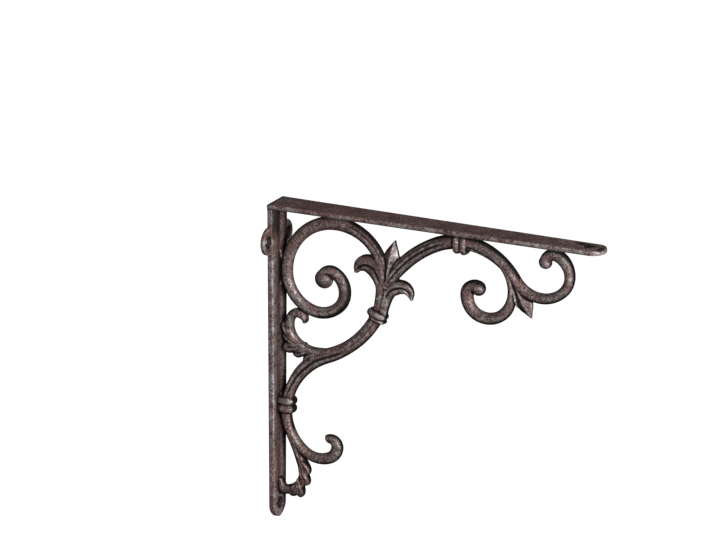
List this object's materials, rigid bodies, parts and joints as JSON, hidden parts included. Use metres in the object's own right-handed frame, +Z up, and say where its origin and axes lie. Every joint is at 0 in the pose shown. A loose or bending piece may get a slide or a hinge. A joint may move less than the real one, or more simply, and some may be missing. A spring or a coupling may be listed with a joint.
{
  "type": "ornate cast iron shelf bracket",
  "caption": "Cast iron wall bracket for a shelf, with a flat arm, a wall plate with screw ears, and pierced scrollwork of leaves, volutes and a small hook.",
  "frame": {"origin": "on the wall face, half way across the wall plate, level with the centres of the two ear holes", "axes": "+X out from the wall along the arm, +Y across the plates, +Z up; the wall face is the plane X = 0"},
  "size_m": [0.2413, 0.0414, 0.216],
  "materials": {
    "cast_iron": "dark warm brown cast iron, sand-cast grain, rubbed paler on raised edges"
  },
  "bodies": {
    "root": {"bracket": "cast_iron"}
  },
  "joints": []
}
